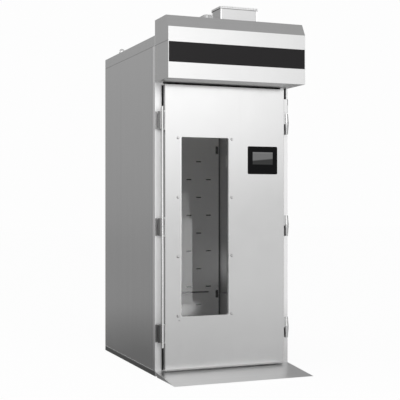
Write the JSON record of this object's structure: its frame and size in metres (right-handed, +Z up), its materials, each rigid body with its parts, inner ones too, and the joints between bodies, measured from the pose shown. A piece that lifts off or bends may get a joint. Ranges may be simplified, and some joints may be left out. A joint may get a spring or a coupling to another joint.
{
  "type": "retarder proofer",
  "caption": "Tall insulated roll-in cabinet that chills and proofs dough, with a windowed full-height door, touch screen, bar handle, canopy, roof vent and entry ramp.",
  "frame": {"origin": "centre of the cabinet body's footprint on the floor, without the ramp", "axes": "+Z up, -Y out of the door, +X towards the hinges, to the right of someone facing the door"},
  "size_m": [1, 1.634, 2.546],
  "materials": {
    "steel": "brushed",
    "steel_dark": "brushed, darker",
    "chrome_bar": "polished",
    "band": "gloss",
    "glass_clear": "clear",
    "foam": "foam",
    "seal": "matt",
    "panel_black": "gloss",
    "display": "lit screen",
    "plastic_grey": "satin",
    "plastic_white": "satin",
    "plastic_black": "satin",
    "copper": "drawn",
    "brass": "machined",
    "aluminium": "mill",
    "motor": "painted",
    "spacer": "anodised"
  },
  "bodies": {
    "cabinet": {"floor_panel": "steel_dark", "left_wall_panel": "steel", "right_wall_panel": "steel", "rear_wall_panel": "steel", "roof_panel": "steel", "left_stile": "steel", "right_stile": "steel", "header": "steel", "threshold_plate": "steel", "handle_keepers": "steel_dark", "hinge_frame_leaves": "steel_dark", "hinge_pins": "steel", "canopy_cover": "steel", "canopy_left_side": "steel", "canopy_right_side": "steel", "canopy_underside": "steel", "canopy_back": "steel", "front_band": "band", "door_switch": "plastic_grey", "switchgear": "plastic_white", "power_gland": "plastic_black", "vent_duct": "steel", "vent_cap": "steel", "actuator_housing": "plastic_grey", "lifting_eyes": "steel", "duct_panel": "steel", "false_ceiling": "steel", "fan_guards": "steel", "fan_motors": "motor", "evaporator_coil": "aluminium", "drip_tray": "steel", "drain_pipe": "steel", "heater_rods": "steel_dark", "refrigerant_pipes": "copper", "water_inlet": "brass", "bumper_rails": "steel", "chamber_lamp": "plastic_white", "climate_probe": "plastic_white", "ramp": "steel", "cable_elbow": "plastic_white"},
    "door": {"door_outer_pan": "steel", "door_inner_pan": "steel", "door_core": "foam", "door_gasket": "seal", "door_sweep": "seal", "outer_glass": "glass_clear", "inner_glass": "glass_clear", "glass_spacer": "spacer", "window_screws": "chrome_bar", "touch_panel": "panel_black", "display_screen": "display", "hinge_door_leaves": "steel", "handle_brackets": "steel_dark", "handle_pins": "steel", "door_cable_box": "steel"},
    "handle": {"handle_bar": "chrome_bar", "handle_levers": "steel_dark"},
    "left_fan": {"fan_left": "aluminium"},
    "right_fan": {"fan_right": "aluminium"},
    "damper": {"damper_flap": "steel"}
  },
  "joints": [
    {"name": "door_swing", "type": "hinge", "parent": "cabinet", "child": "door", "pos_m": [0.472, -0.643, 1.0085], "axis": [0, 0, 1], "range_deg": [0, 120]},
    {"name": "handle_turn", "type": "hinge", "parent": "door", "child": "handle", "pos_m": [-0.454, -0.641, 1.0085], "axis": [0, 0, -1], "range_deg": [0, 22]},
    {"name": "left_fan_spin", "type": "hinge", "parent": "cabinet", "child": "left_fan", "pos_m": [-0.2, -0.14, 1.97], "axis": [0, 0, 1], "continuous": true},
    {"name": "right_fan_spin", "type": "hinge", "parent": "cabinet", "child": "right_fan", "pos_m": [0.2, -0.14, 1.97], "axis": [0, 0, 1], "continuous": true},
    {"name": "damper_turn", "type": "hinge", "parent": "cabinet", "child": "damper", "pos_m": [0.14, -0.484, 2.424], "axis": [1, 0, 0], "range_deg": [0, 90]}
  ]
}
